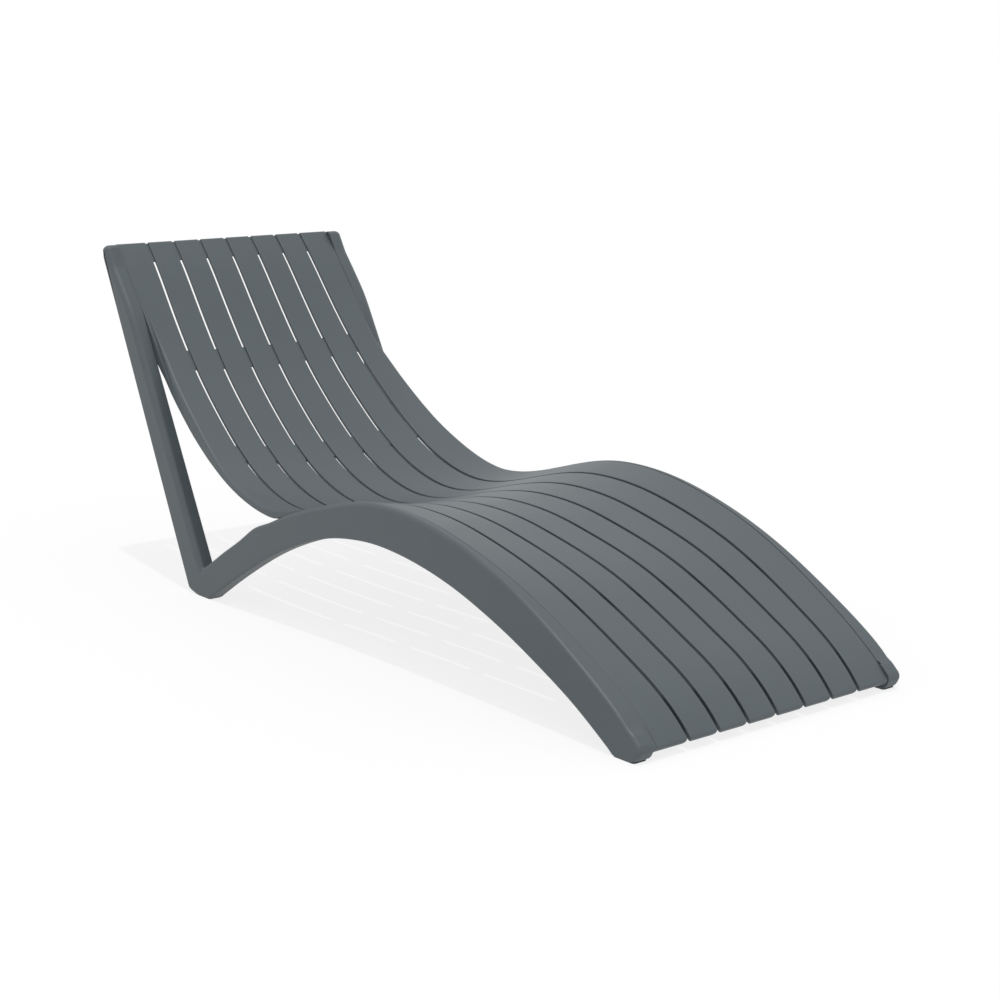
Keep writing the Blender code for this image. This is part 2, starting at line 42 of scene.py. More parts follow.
# metres; "share" and "place" stand for the way along the length, 0 at the foot end, 1 at the head
lounger = {
    "length": 1.710,
    "height": 0.696,
    "width": 0.631,
    "lean": 0.0163,          # how far a side frame leans in, per metre of height
    "frameThickness": 0.033,
    "dishDepth": 0.0343,
    "archLeave": 0.660,      # place where the arch has left the seat
    "archDrop": 0.052,
    "clearance": 0.0003,
    "fineSteps": 4000,       # samples of the wave for its arc length
    # place along the length and height of the seat's edge, as shares
    "wave": (
        (0.0000, 0.0216), (0.0096, 0.0493), (0.0305, 0.0976), (0.0514, 0.1346),
        (0.0933, 0.1973), (0.1769, 0.3052), (0.2606, 0.3802), (0.3442, 0.4236),
        (0.3860, 0.4308), (0.4279, 0.4275), (0.4697, 0.4105), (0.5115, 0.3834),
        (0.5533, 0.3546), (0.5951, 0.3330), (0.6370, 0.3279), (0.6788, 0.3453),
        (0.7206, 0.3823), (0.7624, 0.4388), (0.8043, 0.5108), (0.8461, 0.5920),
        (0.8879, 0.6886), (0.9297, 0.8058), (0.9716, 0.9353), (0.9921, 0.9908),
    ),
    # place, slat pitch as a share of the clear width per slat, crosswise dish as a share
    "fan": (
        (0.000, 0.960, 0.00), (0.050, 0.984, 0.02), (0.093, 1.001, 0.19), (0.177, 1.027, 0.50),
        (0.302, 1.050, 0.92), (0.428, 1.062, 0.98), (0.553, 1.067, 0.79), (0.679, 1.053, 0.85),
        (0.762, 1.031, 0.89), (0.846, 0.996, 0.56), (0.890, 0.976, 0.28), (0.930, 0.956, 0.06),
        (0.972, 0.936, 0.00), (1.000, 0.926, 0.00),
    ),
    # place, width left to the side rail as a share of the frame's thickness, width of the open
    # channel beside it as a share, and rounding of the edge slat's outer edge as a share
    "edge": (
        (0.000, 1.00, 1.00, 0.0), (0.030, 1.00, 1.00, 0.0), (0.060, 0.90, 1.00, 0.0),
        (0.090, 0.80, 1.00, 0.0), (0.177, 0.58, 0.70, 0.0), (0.300, 0.42, 0.25, 0.0),
        (0.420, 0.34, 0.10, 0.0), (0.560, 0.30, 0.04, 0.0), (0.600, 0.29, 0.02, 0.3),
        (0.640, 0.27, 0.01, 0.8), (0.690, 0.28, 0.01, 1.0), (0.730, 0.37, 0.01, 1.0),
        (0.751, 0.47, 0.01, 1.0), (0.781, 0.62, 0.01, 1.0), (0.810, 0.75, 0.01, 1.0),
        (0.840, 0.86, 0.02, 1.0), (0.856, 0.93, 0.02, 1.0), (0.868, 0.99, 0.15, 0.9),
        (0.880, 1.00, 0.45, 0.7), (0.900, 1.00, 0.80, 0.3), (0.930, 1.00, 1.00, 0.0),
        (0.972, 1.00, 1.00, 0.0), (1.000, 1.00, 1.00, 0.0),
    ),
    # place, how far the shell's lower edge hangs below the seat
    "foot": (
        (0.580, 0.0130), (0.600, 0.0138), (0.620, 0.0184), (0.640, 0.0164), (0.660, 0.0148),
        (0.680, 0.0139), (0.700, 0.0136), (0.720, 0.0144), (0.740, 0.0165), (0.750, 0.0183),
        (0.760, 0.0206), (0.770, 0.0222), (0.780, 0.0242), (0.790, 0.0260), (0.800, 0.0274),
        (0.810, 0.0282), (0.830, 0.0286), (0.850, 0.0290), (0.870, 0.0295), (0.890, 0.0305),
        (0.930, 0.0310), (0.972, 0.0227), (1.000, 0.0218),
    ),
    # place, depth of the frame's top below the seat as a share of the arch drop
    "drop": (
        (0.545, 0.00), (0.561, 0.03), (0.583, 0.12), (0.596, 0.22), (0.610, 0.36), (0.629, 0.62),
        (0.647, 1.00),
    ),
}


# natural cubic curve: pieces of third degree whose bend runs on from one to the next and is
# nothing at both ends; the bends come from one set of linear equations
def naturalCurve(places, values):
    x = np.asarray(places, float)
    v = np.asarray(values, float).reshape(len(x), -1)
    h = np.diff(x)
    i = np.arange(1, len(x) - 1)
    system = np.eye(len(x))
    system[i, i - 1], system[i, i], system[i, i + 1] = h[:-1], 2 * (h[:-1] + h[1:]), h[1:]
    slope = np.diff(v, axis=0) / h[:, None]
    right = np.zeros_like(v)
    right[1:-1] = 6 * np.diff(slope, axis=0)
    bend = np.linalg.solve(system, right)

    def at(place, slopeOnly=False):
        place = np.asarray(place, float)
        k = np.clip(np.searchsorted(x, place) - 1, 0, len(x) - 2)
        a = ((x[k + 1] - place) / h[k])[..., None]
        b = 1 - a
        step = h[k][..., None]
        if slopeOnly:
            pull = (3 * b * b - 1) * bend[k + 1] - (3 * a * a - 1) * bend[k]
            out = slope[k] + pull * step / 6
        else:
            pull = (a ** 3 - a) * bend[k] + (b ** 3 - b) * bend[k + 1]
            out = a * v[k] + b * v[k + 1] + pull * step ** 2 / 6
        return out[..., 0] if out.shape[-1] == 1 else out

    return at


# steady curve: third-degree pieces whose slopes are held so that no value passes its neighbours
def steadyCurve(places, values):
    x = np.asarray(places, float)
    v = np.asarray(values, float)
    h, rise = np.diff(x), np.diff(v) / np.diff(x)
    slope = np.zeros_like(v)
    both = rise[:-1] * rise[1:] > 0
    total = np.where(both, rise[:-1] + rise[1:], 1)
    slope[1:-1] = np.where(both, 2 * rise[:-1] * rise[1:] / total, 0)
    slope[0], slope[-1] = rise[0], rise[-1]

    def at(place):
        place = np.clip(place, x[0], x[-1])
        k = np.clip(np.searchsorted(x, place) - 1, 0, len(x) - 2)
        t = (place - x[k]) / h[k]
        return (v[k] * (1 + 2 * t) * (1 - t) ** 2 + v[k + 1] * t * t * (3 - 2 * t)
                + h[k] * (slope[k] * t * (1 - t) ** 2 + slope[k + 1] * t * t * (t - 1)))

    return at


# one column of a table: the given value of each of its rows
def column(name, number):
    return [row[number] for row in lounger[name]]


waveHeight = naturalCurve(column("wave", 0), column("wave", 1))
fanShare = naturalCurve(column("fan", 0), column("fan", 1))
dishShare = steadyCurve(column("fan", 0), column("fan", 2))
railShare = naturalCurve(column("edge", 0), column("edge", 1))
channelShare = steadyCurve(column("edge", 0), column("edge", 2))
shellRoundShare = steadyCurve(column("edge", 0), column("edge", 3))
shellFoot = steadyCurve(column("foot", 0), column("foot", 1))
dropShare = steadyCurve(column("drop", 0), column("drop", 1))


# point of the side view, along and up, from its shares of the length and the height
def sidePoint(yShare, zShare):
    return np.stack([(np.asarray(yShare) - 0.5) * lounger["length"],
                     np.asarray(zShare) * lounger["height"]], axis=-1)


# height of the seat's edge: the wave's share times the height
def seatHeight(share):
    return waveHeight(share) * lounger["height"]


# how steeply the seat rises towards the head: arc tangent of the wave's slope
def seatAngle(share):
    return np.arctan(waveHeight(share, True) * lounger["height"] / lounger["length"])


# outer face of a side frame: half the width less the lean times the height
def outerFace(z):
    return lounger["width"] / 2 - lounger["lean"] * z


# distance from one slat's middle to the next: clear width per slat times the fan's share
def slatPitch(share):
    clearWidth = lounger["width"] - 2 * lounger["frameThickness"]
    return clearWidth / slats["count"] * fanShare(share)


# where the slats end and the side rail begins: outer face less the rail's width
def edgeLine(share):
    rail = np.minimum(railShare(share), 1) * lounger["frameThickness"]
    return outerFace(seatHeight(share)) - rail


# depth of the frame's top below the seat: arch drop times its share, as far as the arch reaches
def archDrop(share):
    return np.where(share <= lounger["archLeave"], lounger["archDrop"] * dropShare(share), 0)


# point of the seat: along the wave by the share, across it by a distance, and down its normal by
# a depth; the middle hangs lower by dish times one minus (across / edge) squared
def seatPoint(share, across, depth):
    share, across, depth = np.broadcast_arrays(share, across, depth)
    edge = edgeLine(share)
    dish = lounger["dishDepth"] * dishShare(share)
    level = dish * np.clip(1 - (across / edge) ** 2, 0, None)
    angle = seatAngle(share)
    side = sidePoint(share, waveHeight(share))
    return np.stack([across, side[..., 0] + depth * np.sin(angle),
                     side[..., 1] - level - depth * np.cos(angle)], axis=-1)


# lengths run through along a line of points: the sum of the steps up to each point
def runAlong(points):
    steps = np.linalg.norm(np.diff(points, axis=0), axis=1)
    return np.concatenate([[0], np.cumsum(steps)])


# places along the wave a steady arc length apart
def waveStations(start, end, spacing):
    fine = np.linspace(start, end, lounger["fineSteps"])
    run = runAlong(sidePoint(fine, waveHeight(fine)))
    count = int(run[-1] / spacing) + 1
    return np.interp(np.linspace(0, run[-1], count), run, fine)


tiny = 1e-12                 # least length that anything is divided by
reachLimit = 0.49            # share of an outline's side that one corner's rounding may take


# vectors of length one: each divided by its length
def unit(vectors):
    return vectors / np.maximum(np.linalg.norm(vectors, axis=-1, keepdims=True), tiny)


# rounded outline: at each corner with a reach, a conic arc from the point one reach before the
# corner to the point one reach after it, weighted by the sine of half the corner's angle, which
# is a true circle arc where both reaches are equal; a corner with no reach stays one point.
# Returns the points and how far round its arc each point lies, as a bump from 0 over 1 to 0
def roundOutline(corners, reachIn, reachOut=None, steps=6):
    corners = np.asarray(corners, float)
    reachIn = np.broadcast_to(np.asarray(reachIn, float), corners.shape[:-1])
    reachOut = reachIn if reachOut is None else reachOut

    # point a reach from each corner towards its neighbour: corner plus way times reach / length
    def toward(way, reach):
        length = np.maximum(np.linalg.norm(way, axis=-1), tiny)
        return corners + way * (np.minimum(reach, reachLimit * length) / length)[..., None]

    before = np.roll(corners, 1, axis=-2) - corners
    after = np.roll(corners, -1, axis=-2) - corners
    first, last = toward(before, reachIn), toward(after, reachOut)
    cosine = np.sum(unit(before) * unit(after), axis=-1)
    weight = np.sin(np.arccos(np.clip(cosine, -1, 1)) / 2)[..., None, None]
    t = np.linspace(0, 1, steps + 1)[:, None]
    a, b, c = (1 - t) ** 2, 2 * t * (1 - t) * weight, t ** 2
    arcs = a * first[..., None, :] + b * corners[..., None, :] + c * last[..., None, :]
    arcs = arcs / (a + b + c)
    rounded = (reachIn.reshape(-1, corners.shape[-2]) > 0).any(axis=0)
    keep = rounded[:, None] | (np.arange(steps + 1) == 0)[None, :]
    arcs = np.where(rounded[:, None, None], arcs, corners[..., None, :])
    bump = np.where(rounded[:, None], np.sin(np.pi * t[:, 0]), 0)
    return arcs[..., keep, :], bump[keep]


# node of a material or world, with values for its sockets, by their names, and its settings
def addNode(tree, kind, **values):
    item = tree.nodes.new(kind)
    for key, value in values.items():
        if key in item.inputs:
            item.inputs[key].default_value = value
        else:
            setattr(item, key, value)
    return item


meshing = {
    "weld": 0.000008,        # points nearer than this become one
    "sliver": 0.000004,      # edges shorter than this go
    "sharp": 50,             # degrees between two faces from which their edge is drawn sharp
    "faceWeight": 60,        # how much large faces draw the shading of their edges, 50 for even
}


# piece of one or more closed skins, each over a grid of points: rows run along it, columns round
# its section, and a flat face shuts each end. Each skin's second value is the share of the paler
# edge colour at each point: edge wear, and painted highlight along the roundings
def gridPiece(name, skins, material, node):
    spots, wearHighlightShare, faces, start = [], [], [], 0
    for points, wearAndHighlight in skins:
        rows, columns = points.shape[:2]
        index = start + np.arange(rows * columns).reshape(rows, columns)
        ahead = np.roll(index, -1, axis=1)
        quads = np.stack([index[:-1], ahead[:-1], ahead[1:], index[1:]], axis=-1).reshape(-1, 4)
        faces += quads.tolist() + [index[0, ::-1].tolist(), index[-1].tolist()]
        spots.append(points.reshape(-1, 3))
        wearHighlightShare.append(np.broadcast_to(wearAndHighlight, (rows, columns)).astype(np.float32).ravel())
        start += rows * columns
    mesh = bpy.data.meshes.new(name)
    mesh.from_pydata(np.concatenate(spots).tolist(), [], faces)
    wearHighlightLayer = mesh.attributes.new("wearAndHighlight", "FLOAT", "POINT")
    wearHighlightLayer.data.foreach_set("value", np.concatenate(wearHighlightShare))
    work = bmesh.new()
    work.from_mesh(mesh)
    bmesh.ops.remove_doubles(work, verts=work.verts, dist=meshing["weld"])
    bmesh.ops.dissolve_degenerate(work, edges=work.edges, dist=meshing["sliver"])
    bmesh.ops.recalc_face_normals(work, faces=work.faces)
    if work.calc_volume(signed=True) < 0:
        bmesh.ops.reverse_faces(work, faces=work.faces)
    work.to_mesh(mesh)
    work.free()
    mesh.shade_smooth()
    mesh.set_sharp_from_angle(angle=math.radians(meshing["sharp"]))
    mesh.materials.append(material)
    piece = bpy.data.objects.new(name, mesh)
    bpy.context.scene.collection.objects.link(piece)
    weighted = piece.modifiers.new("weighted", "WEIGHTED_NORMAL")
    weighted.keep_sharp = True
    weighted.weight = meshing["faceWeight"]
    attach(piece, "root")
    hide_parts(node)


slate = {
    "colour": (0.078, 0.097, 0.107),
    # paler colour of the rounded edges: edge wear, and painted highlight where they catch the light
    "wearAndHighlight": (0.094, 0.113, 0.123),
    "roughness": 0.47,
    "specular": 0.48,
    "grain": 2600.0,         # moulded grain, cells per metre
    "mottle": 14.0,          # slow drift of colour, waves per metre
}
rubber = {
    "colour": (0.070, 0.086, 0.094),
    "wearAndHighlight": (0.085, 0.100, 0.108),
    "roughness": 0.70,
    "specular": 0.30,
    "grain": 1800.0,
    "mottle": 60.0,
}
moulding = {
    "fineScale": 0.25,       # scale of the fine noise as a share of the grain's
    "slowShare": 0.7,        # weight of the slow noise in the drift
    "drift": (0.55, 1.15),   # lowest and highest drift
    "tone": (0.93, 1.07),    # brightness at these
    "gloss": (-0.05, 0.06),  # change of roughness at these
    "grainShare": 0.6,       # weight of the grain in the relief
    "bump": 0.12,
    "bumpHeight": 0.0003,
}


# moulded plastic: colour drifts with a slow and a fine noise and pales along rounded edges, as edge
# wear and as painted highlight of the light the roundings catch; the roughness follows the same
# noise, and a fine grain is raised by bump
def mouldedPlastic(name, look):
    material = bpy.data.materials.new(name)
    material.use_nodes = True
    tree = material.node_tree
    links = tree.links
    shader = tree.nodes["Principled BSDF"]
    shader.inputs["Specular IOR Level"].default_value = look["specular"]

    # first times a share plus second
    def weightedSum(first, share, second):
        item = addNode(tree, "ShaderNodeMath", operation="MULTIPLY_ADD")
        links.new(first, item.inputs[0])
        item.inputs[1].default_value = share
        links.new(second, item.inputs[2])
        return item.outputs[0]

    # value moved in a straight line from one range to another
    def ranged(value, source, target):
        names = ("From Min", "From Max", "To Min", "To Max")
        item = addNode(tree, "ShaderNodeMapRange", **dict(zip(names, (*source, *target))))
        links.new(value, item.inputs["Value"])
        return item.outputs[0]

    place = addNode(tree, "ShaderNodeTexCoord")
    slow = addNode(tree, "ShaderNodeTexNoise", Scale=look["mottle"], Detail=5.0, Roughness=0.6)
    fine = addNode(tree, "ShaderNodeTexNoise", Scale=look["grain"] * moulding["fineScale"],
                   Detail=3.0, Roughness=0.7)
    grain = addNode(tree, "ShaderNodeTexVoronoi", Scale=look["grain"], feature="SMOOTH_F1")
    for texture in (slow, fine, grain):
        links.new(place.outputs["Object"], texture.inputs["Vector"])
    drift = weightedSum(slow.outputs["Fac"], moulding["slowShare"], fine.outputs["Fac"])

    # rounded edges pale by their mask times the slow noise: edge wear, and painted highlight
    wearAndHighlight = addNode(tree, "ShaderNodeAttribute", attribute_name="wearAndHighlight")
    wearHighlightNoise = addNode(tree, "ShaderNodeMath", operation="MULTIPLY")
    links.new(wearAndHighlight.outputs["Fac"], wearHighlightNoise.inputs[0])
    links.new(slow.outputs["Fac"], wearHighlightNoise.inputs[1])
    blend = addNode(tree, "ShaderNodeMix", data_type="RGBA")
    links.new(wearHighlightNoise.outputs[0], blend.inputs[0])
    # sockets 6 and 7 take the two colours, and output 2 is their mix
    blend.inputs[6].default_value = (*look["colour"], 1)
    blend.inputs[7].default_value = (*look["wearAndHighlight"], 1)
    toned = addNode(tree, "ShaderNodeVectorMath", operation="SCALE")
    links.new(blend.outputs[2], toned.inputs[0])
    links.new(ranged(drift, moulding["drift"], moulding["tone"]), toned.inputs["Scale"])
    links.new(toned.outputs[0], shader.inputs["Base Color"])

    roughness = [look["roughness"] + change for change in moulding["gloss"]]
    links.new(ranged(drift, moulding["drift"], roughness), shader.inputs["Roughness"])

    relief = weightedSum(grain.outputs["Distance"], moulding["grainShare"], fine.outputs["Fac"])
    bump = addNode(tree, "ShaderNodeBump", Strength=moulding["bump"],
                   Distance=moulding["bumpHeight"])
    links.new(relief, bump.inputs["Height"])
    links.new(bump.outputs[0], shader.inputs["Normal"])
    return material


slatePlastic = mouldedPlastic("slatePlastic", slate)
padRubber = mouldedPlastic("padRubber", rubber)
print("materials made")

slats = {
    "count": 8,
    "gap": 0.0069,
    "thickness": 0.013,
    # place, depth of a slat's upright side
    "wall": ((0.00, 0.0095), (0.56, 0.0095), (0.70, 0.0078), (0.76, 0.0070), (0.84, 0.0069),
             (1.00, 0.0064)),
    "taper": 0.008,          # how far the sides draw in below it
    "edgeReach": 0.0012,
    "lowReach": 0.0025,
    "topPoints": 7,          # points between the corners of the top
    "underPoints": 5,
    "endRadius": 0.006,
    "lowEndRadius": 0.003,
    "endDraw": 0.7,          # how much an end narrows on each side, as a share of its radius
    # share of the paler edge colour on the slats' roundings and ends: edge wear and painted
    # highlight
    "wearHighlightShare": 0.6,
    "start": 0.0048,
    "end": 0.99306,
    "spacing": 0.0075,
    "endSteps": 7,
}
shell = {
    "channel": 0.0080,
    "channelDepth": 0.0009,
    "flangeThickness": 0.0125,
    "roundWidth": 0.010,
    "roundDepth": 0.018,
    "roundLimit": 0.85,      # share of the flange's depth that the rounding may take
    "smallReach": 0.0008,
}
slatWall = steadyCurve(*zip(*slats["wall"]))


# points between two ends of a section's side, at even shares of the way
def between(start, end, count):
    t = np.arange(1, count + 1) / (count + 1)
    return start[..., None, :] + (end - start)[..., None, :] * t[:, None]


# point of a section: how far across and how deep
def pair(across, depth):
    return np.stack(np.broadcast_arrays(across, depth), axis=-1).astype(float)


# section of an inner slat: flat top, short upright sides, sides then drawn in to the underside
def innerSection(share, number):
    pitch = slatPitch(share)
    low = (number - 1 - slats["count"] / 2) * pitch + slats["gap"] / 2
    high = (number - slats["count"] / 2) * pitch - slats["gap"] / 2
    wall, deep, taper = slatWall(share), slats["thickness"], slats["taper"]
    footLow, footHigh = pair(low + taper, deep), pair(high - taper, deep)
    topLow, topHigh = pair(low, 0), pair(high, 0)
    corners = np.concatenate([
        np.stack([footLow, pair(low, wall), topLow], axis=-2),
        between(topLow, topHigh, slats["topPoints"]),
        np.stack([topHigh, pair(high, wall), footHigh], axis=-2),
        between(footHigh, footLow, slats["underPoints"])], axis=-2)
    top, bottom = slats["edgeReach"], slats["lowReach"]
    reach = [bottom, bottom, top] + [0] * slats["topPoints"]
    reach += [top, bottom, bottom] + [0] * slats["underPoints"]
    return roundOutline(corners, reach)


# section of an edge slat: top, open channel, lip beside the side frame and a flange under it,
# which stays as shallow as the frame's shelf until the arch has dropped away
def edgeSection(share, side):
    small, edge = shell["smallReach"], slats["edgeReach"]
    inner = (slats["count"] / 2 - 1) * slatPitch(share) + slats["gap"] / 2
    lip = edgeLine(share) - lounger["clearance"]
    top = lip - shell["channel"] * channelShare(share)
    thick, wall = slats["thickness"], slatWall(share)
    foot = shellFoot(share)
    allowed = np.maximum(thick, archDrop(share) - lounger["clearance"])
    foot = np.where(share <= lounger["archLeave"], np.minimum(foot, allowed), foot)
    swell = shellRoundShare(share)
    width = edge + (shell["roundWidth"] - edge) * swell
    depth = edge + (shell["roundDepth"] - edge) * swell
    depth = np.minimum(depth, (foot - shell["channelDepth"]) * shell["roundLimit"])
    floor = shell["channelDepth"] + depth - edge
    flange = lip - shell["flangeThickness"]
    topInner, topOuter = pair(inner, 0), pair(top, 0)
    low, high = pair(flange, thick), pair(inner + slats["taper"], thick)
    corners = np.concatenate([
        np.stack([high, pair(inner, wall), topInner], axis=-2),
        between(topInner, topOuter - pair(width, 0), slats["topPoints"]),
        np.stack([topOuter, pair(top, floor), pair(lip, floor), pair(lip, foot),
                  pair(flange, foot), low], axis=-2),
        between(low, high, slats["underPoints"])], axis=-2)

    # a reach for each corner; only the top's outer corner reaches further on one side
    def reaches(outer):
        row = [slats["lowReach"], slats["lowReach"], edge] + [0.0] * slats["topPoints"]
        row += [outer, small, small, edge, edge, small] + [0.0] * slats["underPoints"]
        return np.stack([np.broadcast_to(value, share.shape) for value in row], axis=-1)

    section, bump = roundOutline(corners, reaches(width), reaches(depth))
    return section * np.array([side, 1.0]), bump


# slat: its section carried along the seat's wave; past each end the section leads on by the sine
# and shrinks by one minus the cosine of a quarter turn, which rounds the end over
def makeSlat(number):
    side = {1: -1.0, slats["count"]: 1.0}.get(number)
    share = waveStations(slats["start"], slats["end"], slats["spacing"])
    section, bump = edgeSection(share, side) if side else innerSection(share, number)
    body = seatPoint(share[:, None], section[..., 0], section[..., 1])

    # rings past one end: way is 1 towards the head and -1 towards the foot end; each ring leads
    # on by sine times radius and is drawn in by (one minus cosine) times radius
    def endRings(row, way):
        turn = np.linspace(0, math.pi / 2, slats["endSteps"] + 1)[1:, None]
        lead, inset = np.sin(turn) * way, 1 - np.cos(turn)
        across, depth = section[row, :, 0], section[row, :, 1]
        middle, half = (across.max() + across.min()) / 2, (across.max() - across.min()) / 2
        drawn = half - inset * slats["endRadius"] * slats["endDraw"]
        across = middle + (across - middle) * drawn / half
        lowest = np.maximum(depth.max() - inset * slats["lowEndRadius"], slats["endRadius"])
        depth = np.clip(depth, inset * slats["endRadius"], lowest)
        angle = seatAngle(share[row])
        onward = np.array([0, math.cos(angle), math.sin(angle)])
        shift = lead[..., None] * slats["endRadius"] * onward
        return seatPoint(share[row], across, depth) + shift, np.sin(turn)

    footRings, footTurn = endRings(0, -1)
    headRings, headTurn = endRings(-1, 1)
    points = np.concatenate([footRings[::-1], body, headRings])
    along = np.concatenate([footTurn[::-1], np.zeros((len(share), 1)), headTurn])
    # rounded edges and ends take the paler edge colour: edge wear and painted highlight
    wearAndHighlight = np.clip(bump[None, :] * slats["wearHighlightShare"] + along * slats["wearHighlightShare"], 0, 1)
    gridPiece(f"slatDressed_{number}", [(points, wearAndHighlight)], slatePlastic,
              f"slat_{number}")


for number in range(1, slats["count"] + 1):
    makeSlat(number)
print("slats made")

sides = {
    "sole": 0.0012,
    "roundWidth": 0.0075,    # rounding of the rail's outer top edge
    "roundDepth": 0.0085,
    "edge": 0.0055,          # rounding of the other outer edges
    "legEdge": 0.0130,       # broad rounding of the rear leg's front
    "noseEdge": 0.0080,
    "innerEdge": 0.0060,
    "soleEdge": 0.0015,
    "rebateEdge": 0.0005,
    # place, rounding of the rail's outer top edge as a share of its depth
    "railRound": ((0.00, 0.75), (0.09, 0.70), (0.15, 0.75), (0.22, 0.90), (0.28, 1.00),
                  (0.55, 1.00), (0.64, 0.60)),
    # outline in the side view, as shares of the length and the height
    "top": 0.020,            # place where the rail's top begins
    "leave": 0.6244,         # where it turns down into the arch's back
    "low": 0.6507,           # where that back lies a whole arch drop below the seat
    "back": ((0.6700, 0.2335), (0.6930, 0.1970), (0.7180, 0.1612), (0.7415, 0.1250)),
    "crotch": (0.7712, 0.0794),
    "legFront": ((0.8942, 0.6434), (0.9250, 0.7860)),
    "flush": (0.9350, 0.9520, 0.9716),       # places where the leg's front follows the seat
    "head": ((0.9860, 0.9995), (1.0000, 0.9900)),
    "heel": 0.7984,
    "toe": 0.7516,
    "under": (
        (0.7056, 0.0726), (0.6612, 0.1359), (0.6186, 0.1915), (0.5767, 0.2373),
        (0.5366, 0.2734), (0.4977, 0.2997), (0.4601, 0.3136), (0.4233, 0.3195),
        (0.3873, 0.3164), (0.3526, 0.3071), (0.3183, 0.2927), (0.2852, 0.2742),
        (0.2363, 0.2373), (0.1895, 0.1943), (0.1439, 0.1450), (0.0995, 0.0918),
        (0.0620, 0.0375),
    ),
    "frontSole": (0.0393, 0.0084),
    "nose": ((0.0006, 0.0370), (0.0130, 0.0650)),
    # how far the outline's own corners are rounded, in metres
    "crotchReach": 0.017,
    "legFrontReach": 0.030,
    "flushReach": (0.012, 0.012, 0.008),
    "headReach": 0.0105,
    "heelReach": 0.034,
    "toeReach": 0.006,
    "soleReach": 0.004,
    "noseReach": 0.011,
    "browReach": 0.003,      # where the nose meets the rail's top
    "spacing": 0.0075,
    "legPoints": 24,
    "rearPoints": 30,
    "arcSteps": 8,
    # sections
    "soleMargin": 0.0005,    # points less than this above the sole belong to it
    "blur": 0.012,           # way along the outline in which one rounding passes into the next
    "turnRings": 8,
    "rebateRings": 4,
    # how far before the inner rounding the rebate's rings lie where there is no rebate
    "ringLead": (0.0012, 0.0010, 0.0008, 0.0006, 0.0004, 0.0002),
}
railRoundShare = steadyCurve(*zip(*sides["railRound"]))
onSeat, onPlain, onLeg, onNose = range(4)    # kinds of edge along a frame's outline


# natural curve through points by the length run between them, from one of them to the last
def smoothCurveThrough(points, spacing, first=0):
    points = np.asarray(points, float)
    run = runAlong(points)
    count = max(2, int((run[-1] - run[first]) / spacing) + 1)
    return naturalCurve(run, points)(np.linspace(run[first], run[-1], count))


# outline of a frame in the side view: the rail's top follows the seat, then the arch's back, the
# rear leg, the head, the heel, the underside of the arch and the nose; each point keeps the kind
# of its edge, and the places of the rail's top come with it
def frameOutline():
    share = waveStations(sides["top"], sides["leave"], sides["spacing"])
    seat = seatPoint(share, edgeLine(share), archDrop(share))[:, 1:]
    low = seatPoint(sides["low"], edgeLine(sides["low"]), lounger["archDrop"])[None, 1:]
    crotch = sidePoint(*sides["crotch"])[None]
    back = sidePoint(*np.transpose(sides["back"]))
    leadIn = seat[-9::4]                     # three points of the rail's top, up to its last
    arch = smoothCurveThrough(np.concatenate([leadIn, low, back, crotch]),
                              sides["spacing"], first=len(leadIn) - 1)[1:-1]
    legFront = sidePoint(*np.transpose(sides["legFront"]))
    flushPlaces = np.array(sides["flush"])
    flush = sidePoint(flushPlaces, waveHeight(flushPlaces))
    head = sidePoint(*np.transpose(sides["head"]))

    # points at the height of the sole, one for each place along the length
    def onFloor(*places):
        return np.array([[sidePoint(place, 0)[0], sides["sole"]] for place in places])

    heel, toe = onFloor(sides["heel"]), onFloor(sides["toe"])
    frontSole = onFloor(*sides["frontSole"])
    under = sidePoint(*np.transpose(sides["under"]))
    belly = smoothCurveThrough(np.concatenate([toe, under, frontSole[:1]]), sides["spacing"])[1:-1]
    nose = sidePoint(*np.transpose(sides["nose"]))
    parts = [
        (seat, 0, onSeat), (arch, 0, onPlain), (crotch, sides["crotchReach"], onLeg),
        (between(crotch[0], legFront[0], sides["legPoints"]), 0, onLeg),
        (legFront, sides["legFrontReach"], onLeg), (flush, sides["flushReach"], onLeg),
        (head, sides["headReach"], onLeg),
        (between(head[1], heel[0], sides["rearPoints"]), 0, onPlain),
        (heel, sides["heelReach"], onPlain), (toe, sides["toeReach"], onPlain),
        (belly, 0, onPlain), (frontSole[:1], sides["soleReach"], onPlain),
        (frontSole[1:], sides["noseReach"], onNose), (nose[:1], sides["noseReach"], onNose),
        (nose[1:], sides["browReach"], onNose),
    ]
    corners = np.concatenate([points for points, reach, kind in parts])
    reach = np.concatenate([np.broadcast_to(np.asarray(reach, float), len(points))
                            for points, reach, kind in parts])
    kind = np.concatenate([np.full(len(points), kind) for points, reach, kind in parts])
    outline = roundOutline(corners, reach, steps=sides["arcSteps"])[0]
    return outline, np.repeat(kind, np.where(reach > 0, sides["arcSteps"] + 1, 1)), share


